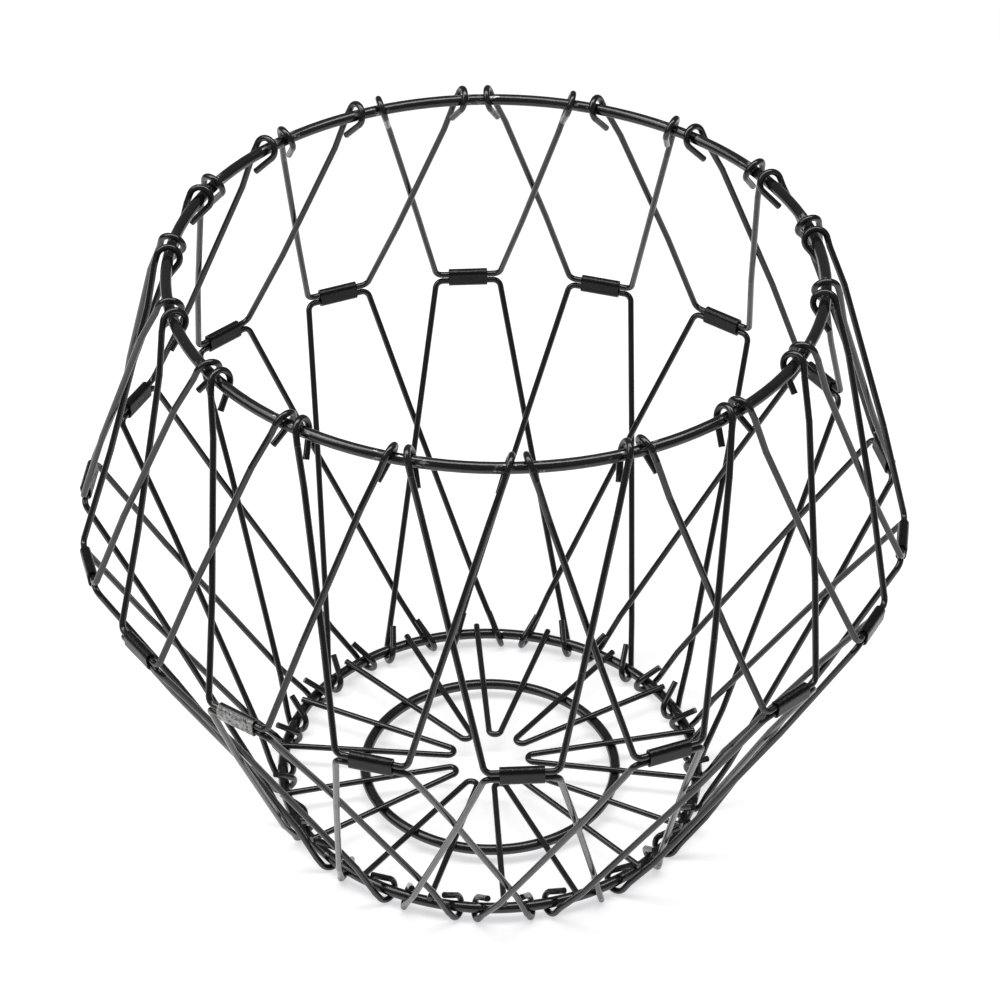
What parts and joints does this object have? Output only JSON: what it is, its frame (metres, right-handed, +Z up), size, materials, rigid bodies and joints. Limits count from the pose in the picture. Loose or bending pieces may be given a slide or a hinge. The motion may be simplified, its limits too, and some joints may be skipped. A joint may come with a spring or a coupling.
{
  "type": "folding crab trap",
  "caption": "Collapsible round basket of black coated wire: a wide belt of hinged links joins a top ring to a smaller spoked floor, and folds down flat.",
  "frame": {"origin": "on the floor under the centre of the bottom ring, where the lower hook eyes stand", "axes": "+Z up along the axis of the rings, -Y towards the viewer of the picture, +X to the viewer's right"},
  "size_m": [0.2586, 0.2588, 0.205],
  "materials": {
    "ring_wire": "gloss",
    "link_wire": "gloss",
    "spoke_wire": "gloss",
    "sleeve": "satin"
  },
  "bodies": {
    "base": {"bottom_ring": "ring_wire", "inner_ring": "ring_wire", "floor_spokes": "spoke_wire"},
    "lower_01": {"lower_link_01": "link_wire"},
    "sleeve_01": {"sleeve_01": "sleeve"},
    "upper_01": {"upper_link_01": "link_wire"},
    "lower_02": {"lower_link_02": "link_wire"},
    "sleeve_02": {"sleeve_02": "sleeve"},
    "upper_02": {"upper_link_02": "link_wire"},
    "lower_03": {"lower_link_03": "link_wire"},
    "sleeve_03": {"sleeve_03": "sleeve"},
    "upper_03": {"upper_link_03": "link_wire"},
    "lower_04": {"lower_link_04": "link_wire"},
    "sleeve_04": {"sleeve_04": "sleeve"},
    "upper_04": {"upper_link_04": "link_wire"},
    "lower_05": {"lower_link_05": "link_wire"},
    "sleeve_05": {"sleeve_05": "sleeve"},
    "upper_05": {"upper_link_05": "link_wire"},
    "lower_06": {"lower_link_06": "link_wire"},
    "sleeve_06": {"sleeve_06": "sleeve"},
    "upper_06": {"upper_link_06": "link_wire"},
    "lower_07": {"lower_link_07": "link_wire"},
    "sleeve_07": {"sleeve_07": "sleeve"},
    "upper_07": {"upper_link_07": "link_wire"},
    "lower_08": {"lower_link_08": "link_wire"},
    "sleeve_08": {"sleeve_08": "sleeve"},
    "upper_08": {"upper_link_08": "link_wire"},
    "lower_09": {"lower_link_09": "link_wire"},
    "sleeve_09": {"sleeve_09": "sleeve"},
    "upper_09": {"upper_link_09": "link_wire"},
    "lower_10": {"lower_link_10": "link_wire"},
    "sleeve_10": {"sleeve_10": "sleeve"},
    "upper_10": {"upper_link_10": "link_wire"},
    "lower_11": {"lower_link_11": "link_wire"},
    "sleeve_11": {"sleeve_11": "sleeve"},
    "upper_11": {"upper_link_11": "link_wire"},
    "lower_12": {"lower_link_12": "link_wire"},
    "sleeve_12": {"sleeve_12": "sleeve"},
    "upper_12": {"upper_link_12": "link_wire"},
    "lower_13": {"lower_link_13": "link_wire"},
    "sleeve_13": {"sleeve_13": "sleeve"},
    "upper_13": {"upper_link_13": "link_wire"},
    "lower_14": {"lower_link_14": "link_wire"},
    "sleeve_14": {"sleeve_14": "sleeve"},
    "upper_14": {"upper_link_14": "link_wire"},
    "lower_15": {"lower_link_15": "link_wire"},
    "sleeve_15": {"sleeve_15": "sleeve"},
    "upper_15": {"upper_link_15": "link_wire"},
    "lower_16": {"lower_link_16": "link_wire"},
    "sleeve_16": {"sleeve_16": "sleeve"},
    "upper_16": {"upper_link_16": "link_wire"},
    "lower_17": {"lower_link_17": "link_wire"},
    "sleeve_17": {"sleeve_17": "sleeve"},
    "upper_17": {"upper_link_17": "link_wire"},
    "lower_18": {"lower_link_18": "link_wire"},
    "sleeve_18": {"sleeve_18": "sleeve"},
    "upper_18": {"upper_link_18": "link_wire"},
    "rim": {"top_ring": "ring_wire"}
  },
  "joints": [
    {"name": "basket_fold", "type": "hinge", "parent": "base", "child": "lower_01", "pos_m": [0.06075, -0.00729, 0.00462], "axis": [0.1192, 0.9929, 0], "range_deg": [-4, 54]},
    {"name": "sleeve_01_turn", "type": "hinge", "parent": "lower_01", "child": "sleeve_01", "pos_m": [0.12651, -0.01519, 0.11145], "axis": [0.1192, 0.9929, 0], "range_deg": [-59.7, 4.5]},
    {"name": "upper_01_fold", "type": "hinge", "parent": "lower_01", "child": "upper_01", "pos_m": [0.12599, -0.01512, 0.1127], "axis": [0.1192, 0.9929, 0], "range_deg": [-119.4, 8.9]},
    {"name": "lower_02_fold", "type": "hinge", "parent": "base", "child": "lower_02", "pos_m": [0.05957, 0.01396, 0.00462], "axis": [-0.2281, 0.9736, 0], "range_deg": [-4, 54]},
    {"name": "sleeve_02_turn", "type": "hinge", "parent": "lower_02", "child": "sleeve_02", "pos_m": [0.12406, 0.02907, 0.11145], "axis": [-0.2281, 0.9736, 0], "range_deg": [-59.7, 4.5]},
    {"name": "upper_02_fold", "type": "hinge", "parent": "lower_02", "child": "upper_02", "pos_m": [0.12355, 0.02895, 0.1127], "axis": [-0.2281, 0.9736, 0], "range_deg": [-119.4, 8.9]},
    {"name": "lower_03_fold", "type": "hinge", "parent": "base", "child": "lower_03", "pos_m": [0.0511, 0.03364, 0.00462], "axis": [-0.5499, 0.8352, 0], "range_deg": [-4, 54]},
    {"name": "sleeve_03_turn", "type": "hinge", "parent": "lower_03", "child": "sleeve_03", "pos_m": [0.10643, 0.07007, 0.11145], "axis": [-0.5499, 0.8352, 0], "range_deg": [-59.7, 4.5]},
    {"name": "upper_03_fold", "type": "hinge", "parent": "lower_03", "child": "upper_03", "pos_m": [0.10599, 0.06978, 0.1127], "axis": [-0.5499, 0.8352, 0], "range_deg": [-119.4, 8.9]},
    {"name": "lower_04_fold", "type": "hinge", "parent": "base", "child": "lower_04", "pos_m": [0.03626, 0.04928, 0.00462], "axis": [-0.8054, 0.5927, 0], "range_deg": [-4, 54]},
    {"name": "sleeve_04_turn", "type": "hinge", "parent": "lower_04", "child": "sleeve_04", "pos_m": [0.07552, 0.10263, 0.11145], "axis": [-0.8054, 0.5927, 0], "range_deg": [-59.7, 4.5]},
    {"name": "upper_04_fold", "type": "hinge", "parent": "lower_04", "child": "upper_04", "pos_m": [0.07521, 0.10221, 0.1127], "axis": [-0.8054, 0.5927, 0], "range_deg": [-119.4, 8.9]},
    {"name": "lower_05_fold", "type": "hinge", "parent": "base", "child": "lower_05", "pos_m": [0.01684, 0.05882, 0.00462], "axis": [-0.9614, 0.2752, 0], "range_deg": [-4, 54]},
    {"name": "sleeve_05_turn", "type": "hinge", "parent": "lower_05", "child": "sleeve_05", "pos_m": [0.03506, 0.1225, 0.11145], "axis": [-0.9614, 0.2752, 0], "range_deg": [-59.7, 4.5]},
    {"name": "upper_05_fold", "type": "hinge", "parent": "lower_05", "child": "upper_05", "pos_m": [0.03492, 0.122, 0.1127], "axis": [-0.9614, 0.2752, 0], "range_deg": [-119.4, 8.9]},
    {"name": "lower_06_fold", "type": "hinge", "parent": "base", "child": "lower_06", "pos_m": [-0.00474, 0.061, 0.00462], "axis": [-0.997, -0.0774, 0], "range_deg": [-4, 54]},
    {"name": "sleeve_06_turn", "type": "hinge", "parent": "lower_06", "child": "sleeve_06", "pos_m": [-0.00987, 0.12704, 0.11145], "axis": [-0.997, -0.0774, 0], "range_deg": [-59.7, 4.5]},
    {"name": "upper_06_fold", "type": "hinge", "parent": "lower_06", "child": "upper_06", "pos_m": [-0.00983, 0.12652, 0.1127], "axis": [-0.997, -0.0774, 0], "range_deg": [-119.4, 8.9]},
    {"name": "lower_07_fold", "type": "hinge", "parent": "base", "child": "lower_07", "pos_m": [-0.02571, 0.05552, 0.00462], "axis": [-0.9074, -0.4202, 0], "range_deg": [-4, 54]},
    {"name": "sleeve_07_turn", "type": "hinge", "parent": "lower_07", "child": "sleeve_07", "pos_m": [-0.05354, 0.11563, 0.11145], "axis": [-0.9074, -0.4202, 0], "range_deg": [-59.7, 4.5]},
    {"name": "upper_07_fold", "type": "hinge", "parent": "lower_07", "child": "upper_07", "pos_m": [-0.05332, 0.11515, 0.1127], "axis": [-0.9074, -0.4202, 0], "range_deg": [-119.4, 8.9]},
    {"name": "lower_08_fold", "type": "hinge", "parent": "base", "child": "lower_08", "pos_m": [-0.0434, 0.04312, 0.00462], "axis": [-0.7048, -0.7094, 0], "range_deg": [-4, 54]},
    {"name": "sleeve_08_turn", "type": "hinge", "parent": "lower_08", "child": "sleeve_08", "pos_m": [-0.0904, 0.0898, 0.11145], "axis": [-0.7048, -0.7094, 0], "range_deg": [-59.7, 4.5]},
    {"name": "upper_08_fold", "type": "hinge", "parent": "lower_08", "child": "upper_08", "pos_m": [-0.09003, 0.08943, 0.1127], "axis": [-0.7048, -0.7094, 0], "range_deg": [-119.4, 8.9]},
    {"name": "lower_09_fold", "type": "hinge", "parent": "base", "child": "lower_09", "pos_m": [-0.05564, 0.02544, 0.00462], "axis": [-0.4158, -0.9095, 0], "range_deg": [-4, 54]},
    {"name": "sleeve_09_turn", "type": "hinge", "parent": "lower_09", "child": "sleeve_09", "pos_m": [-0.11588, 0.05298, 0.11145], "axis": [-0.4158, -0.9095, 0], "range_deg": [-59.7, 4.5]},
    {"name": "upper_09_fold", "type": "hinge", "parent": "lower_09", "child": "upper_09", "pos_m": [-0.11541, 0.05276, 0.1127], "axis": [-0.4158, -0.9095, 0], "range_deg": [-119.4, 8.9]},
    {"name": "lower_10_fold", "type": "hinge", "parent": "base", "child": "lower_10", "pos_m": [-0.061, 0.00475, 0.00462], "axis": [-0.0777, -0.997, 0], "range_deg": [-4, 54]},
    {"name": "sleeve_10_turn", "type": "hinge", "parent": "lower_10", "child": "sleeve_10", "pos_m": [-0.12704, 0.0099, 0.11145], "axis": [-0.0777, -0.997, 0], "range_deg": [-59.7, 4.5]},
    {"name": "upper_10_fold", "type": "hinge", "parent": "lower_10", "child": "upper_10", "pos_m": [-0.12651, 0.00986, 0.1127], "axis": [-0.0777, -0.997, 0], "range_deg": [-119.4, 8.9]},
    {"name": "lower_11_fold", "type": "hinge", "parent": "base", "child": "lower_11", "pos_m": [-0.05895, -0.01636, 0.00462], "axis": [0.2674, -0.9636, 0], "range_deg": [-4, 54]},
    {"name": "sleeve_11_turn", "type": "hinge", "parent": "lower_11", "child": "sleeve_11", "pos_m": [-0.12278, -0.03408, 0.11145], "axis": [0.2674, -0.9636, 0], "range_deg": [-59.7, 4.5]},
    {"name": "upper_11_fold", "type": "hinge", "parent": "lower_11", "child": "upper_11", "pos_m": [-0.12228, -0.03394, 0.1127], "axis": [0.2674, -0.9636, 0], "range_deg": [-119.4, 8.9]},
    {"name": "lower_12_fold", "type": "hinge", "parent": "base", "child": "lower_12", "pos_m": [-0.04991, -0.03539, 0.00462], "axis": [0.5784, -0.8157, 0], "range_deg": [-4, 54]},
    {"name": "sleeve_12_turn", "type": "hinge", "parent": "lower_12", "child": "sleeve_12", "pos_m": [-0.10394, -0.0737, 0.11145], "axis": [0.5784, -0.8157, 0], "range_deg": [-59.7, 4.5]},
    {"name": "upper_12_fold", "type": "hinge", "parent": "lower_12", "child": "upper_12", "pos_m": [-0.10351, -0.0734, 0.1127], "axis": [0.5784, -0.8157, 0], "range_deg": [-119.4, 8.9]},
    {"name": "lower_13_fold", "type": "hinge", "parent": "base", "child": "lower_13", "pos_m": [-0.03505, -0.05015, 0.00462], "axis": [0.8196, -0.5729, 0], "range_deg": [-4, 54]},
    {"name": "sleeve_13_turn", "type": "hinge", "parent": "lower_13", "child": "sleeve_13", "pos_m": [-0.073, -0.10444, 0.11145], "axis": [0.8196, -0.5729, 0], "range_deg": [-59.7, 4.5]},
    {"name": "upper_13_fold", "type": "hinge", "parent": "lower_13", "child": "upper_13", "pos_m": [-0.0727, -0.10401, 0.1127], "axis": [0.8196, -0.5729, 0], "range_deg": [-119.4, 8.9]},
    {"name": "lower_14_fold", "type": "hinge", "parent": "base", "child": "lower_14", "pos_m": [-0.01617, -0.05901, 0.00462], "axis": [0.9644, -0.2643, 0], "range_deg": [-4, 54]},
    {"name": "sleeve_14_turn", "type": "hinge", "parent": "lower_14", "child": "sleeve_14", "pos_m": [-0.03368, -0.12289, 0.11145], "axis": [0.9644, -0.2643, 0], "range_deg": [-59.7, 4.5]},
    {"name": "upper_14_fold", "type": "hinge", "parent": "lower_14", "child": "upper_14", "pos_m": [-0.03354, -0.12238, 0.1127], "axis": [0.9644, -0.2643, 0], "range_deg": [-119.4, 8.9]},
    {"name": "lower_15_fold", "type": "hinge", "parent": "base", "child": "lower_15", "pos_m": [0.00454, -0.06101, 0.00462], "axis": [0.9972, 0.0743, 0], "range_deg": [-4, 54]},
    {"name": "sleeve_15_turn", "type": "hinge", "parent": "lower_15", "child": "sleeve_15", "pos_m": [0.00946, -0.12707, 0.11145], "axis": [0.9972, 0.0743, 0], "range_deg": [-59.7, 4.5]},
    {"name": "upper_15_fold", "type": "hinge", "parent": "lower_15", "child": "upper_15", "pos_m": [0.00942, -0.12655, 0.1127], "axis": [0.9972, 0.0743, 0], "range_deg": [-119.4, 8.9]},
    {"name": "lower_16_fold", "type": "hinge", "parent": "base", "child": "lower_16", "pos_m": [0.02474, -0.05595, 0.00462], "axis": [0.9146, 0.4044, 0], "range_deg": [-4, 54]},
    {"name": "sleeve_16_turn", "type": "hinge", "parent": "lower_16", "child": "sleeve_16", "pos_m": [0.05153, -0.11653, 0.11145], "axis": [0.9146, 0.4044, 0], "range_deg": [-59.7, 4.5]},
    {"name": "upper_16_fold", "type": "hinge", "parent": "lower_16", "child": "upper_16", "pos_m": [0.05132, -0.11606, 0.1127], "axis": [0.9146, 0.4044, 0], "range_deg": [-119.4, 8.9]},
    {"name": "lower_17_fold", "type": "hinge", "parent": "base", "child": "lower_17", "pos_m": [0.04212, -0.04437, 0.00462], "axis": [0.7252, 0.6885, 0], "range_deg": [-4, 54]},
    {"name": "sleeve_17_turn", "type": "hinge", "parent": "lower_17", "child": "sleeve_17", "pos_m": [0.08773, -0.09241, 0.11145], "axis": [0.7252, 0.6885, 0], "range_deg": [-59.7, 4.5]},
    {"name": "upper_17_fold", "type": "hinge", "parent": "lower_17", "child": "upper_17", "pos_m": [0.08737, -0.09203, 0.1127], "axis": [0.7252, 0.6885, 0], "range_deg": [-119.4, 8.9]},
    {"name": "lower_18_fold", "type": "hinge", "parent": "base", "child": "lower_18", "pos_m": [0.05464, -0.02752, 0.00462], "axis": [0.4498, 0.8931, 0], "range_deg": [-4, 54]},
    {"name": "sleeve_18_turn", "type": "hinge", "parent": "lower_18", "child": "sleeve_18", "pos_m": [0.1138, -0.05731, 0.11145], "axis": [0.4498, 0.8931, 0], "range_deg": [-59.7, 4.5]},
    {"name": "upper_18_fold", "type": "hinge", "parent": "lower_18", "child": "upper_18", "pos_m": [0.11334, -0.05708, 0.1127], "axis": [0.4498, 0.8931, 0], "range_deg": [-119.4, 8.9]},
    {"name": "rim_level", "type": "hinge", "parent": "upper_01", "child": "rim", "pos_m": [0.09293, -0.01115, 0.20032], "axis": [0.1192, 0.9929, 0], "range_deg": [-4.9, 65.4]}
  ],
  "couplings": [
    {"joint": "sleeve_01_turn", "follows": "basket_fold", "ratio": -1.105},
    {"joint": "upper_01_fold", "follows": "basket_fold", "ratio": -2.21},
    {"joint": "lower_02_fold", "follows": "basket_fold", "ratio": 1},
    {"joint": "sleeve_02_turn", "follows": "basket_fold", "ratio": -1.105},
    {"joint": "upper_02_fold", "follows": "basket_fold", "ratio": -2.21},
    {"joint": "lower_03_fold", "follows": "basket_fold", "ratio": 1},
    {"joint": "sleeve_03_turn", "follows": "basket_fold", "ratio": -1.105},
    {"joint": "upper_03_fold", "follows": "basket_fold", "ratio": -2.21},
    {"joint": "lower_04_fold", "follows": "basket_fold", "ratio": 1},
    {"joint": "sleeve_04_turn", "follows": "basket_fold", "ratio": -1.105},
    {"joint": "upper_04_fold", "follows": "basket_fold", "ratio": -2.21},
    {"joint": "lower_05_fold", "follows": "basket_fold", "ratio": 1},
    {"joint": "sleeve_05_turn", "follows": "basket_fold", "ratio": -1.105},
    {"joint": "upper_05_fold", "follows": "basket_fold", "ratio": -2.21},
    {"joint": "lower_06_fold", "follows": "basket_fold", "ratio": 1},
    {"joint": "sleeve_06_turn", "follows": "basket_fold", "ratio": -1.105},
    {"joint": "upper_06_fold", "follows": "basket_fold", "ratio": -2.21},
    {"joint": "lower_07_fold", "follows": "basket_fold", "ratio": 1},
    {"joint": "sleeve_07_turn", "follows": "basket_fold", "ratio": -1.105},
    {"joint": "upper_07_fold", "follows": "basket_fold", "ratio": -2.21},
    {"joint": "lower_08_fold", "follows": "basket_fold", "ratio": 1},
    {"joint": "sleeve_08_turn", "follows": "basket_fold", "ratio": -1.105},
    {"joint": "upper_08_fold", "follows": "basket_fold", "ratio": -2.21},
    {"joint": "lower_09_fold", "follows": "basket_fold", "ratio": 1},
    {"joint": "sleeve_09_turn", "follows": "basket_fold", "ratio": -1.105},
    {"joint": "upper_09_fold", "follows": "basket_fold", "ratio": -2.21},
    {"joint": "lower_10_fold", "follows": "basket_fold", "ratio": 1},
    {"joint": "sleeve_10_turn", "follows": "basket_fold", "ratio": -1.105},
    {"joint": "upper_10_fold", "follows": "basket_fold", "ratio": -2.21},
    {"joint": "lower_11_fold", "follows": "basket_fold", "ratio": 1},
    {"joint": "sleeve_11_turn", "follows": "basket_fold", "ratio": -1.105},
    {"joint": "upper_11_fold", "follows": "basket_fold", "ratio": -2.21},
    {"joint": "lower_12_fold", "follows": "basket_fold", "ratio": 1},
    {"joint": "sleeve_12_turn", "follows": "basket_fold", "ratio": -1.105},
    {"joint": "upper_12_fold", "follows": "basket_fold", "ratio": -2.21},
    {"joint": "lower_13_fold", "follows": "basket_fold", "ratio": 1},
    {"joint": "sleeve_13_turn", "follows": "basket_fold", "ratio": -1.105},
    {"joint": "upper_13_fold", "follows": "basket_fold", "ratio": -2.21},
    {"joint": "lower_14_fold", "follows": "basket_fold", "ratio": 1},
    {"joint": "sleeve_14_turn", "follows": "basket_fold", "ratio": -1.105},
    {"joint": "upper_14_fold", "follows": "basket_fold", "ratio": -2.21},
    {"joint": "lower_15_fold", "follows": "basket_fold", "ratio": 1},
    {"joint": "sleeve_15_turn", "follows": "basket_fold", "ratio": -1.105},
    {"joint": "upper_15_fold", "follows": "basket_fold", "ratio": -2.21},
    {"joint": "lower_16_fold", "follows": "basket_fold", "ratio": 1},
    {"joint": "sleeve_16_turn", "follows": "basket_fold", "ratio": -1.105},
    {"joint": "upper_16_fold", "follows": "basket_fold", "ratio": -2.21},
    {"joint": "lower_17_fold", "follows": "basket_fold", "ratio": 1},
    {"joint": "sleeve_17_turn", "follows": "basket_fold", "ratio": -1.105},
    {"joint": "upper_17_fold", "follows": "basket_fold", "ratio": -2.21},
    {"joint": "lower_18_fold", "follows": "basket_fold", "ratio": 1},
    {"joint": "sleeve_18_turn", "follows": "basket_fold", "ratio": -1.105},
    {"joint": "upper_18_fold", "follows": "basket_fold", "ratio": -2.21},
    {"joint": "rim_level", "follows": "basket_fold", "ratio": 1.21}
  ]
}
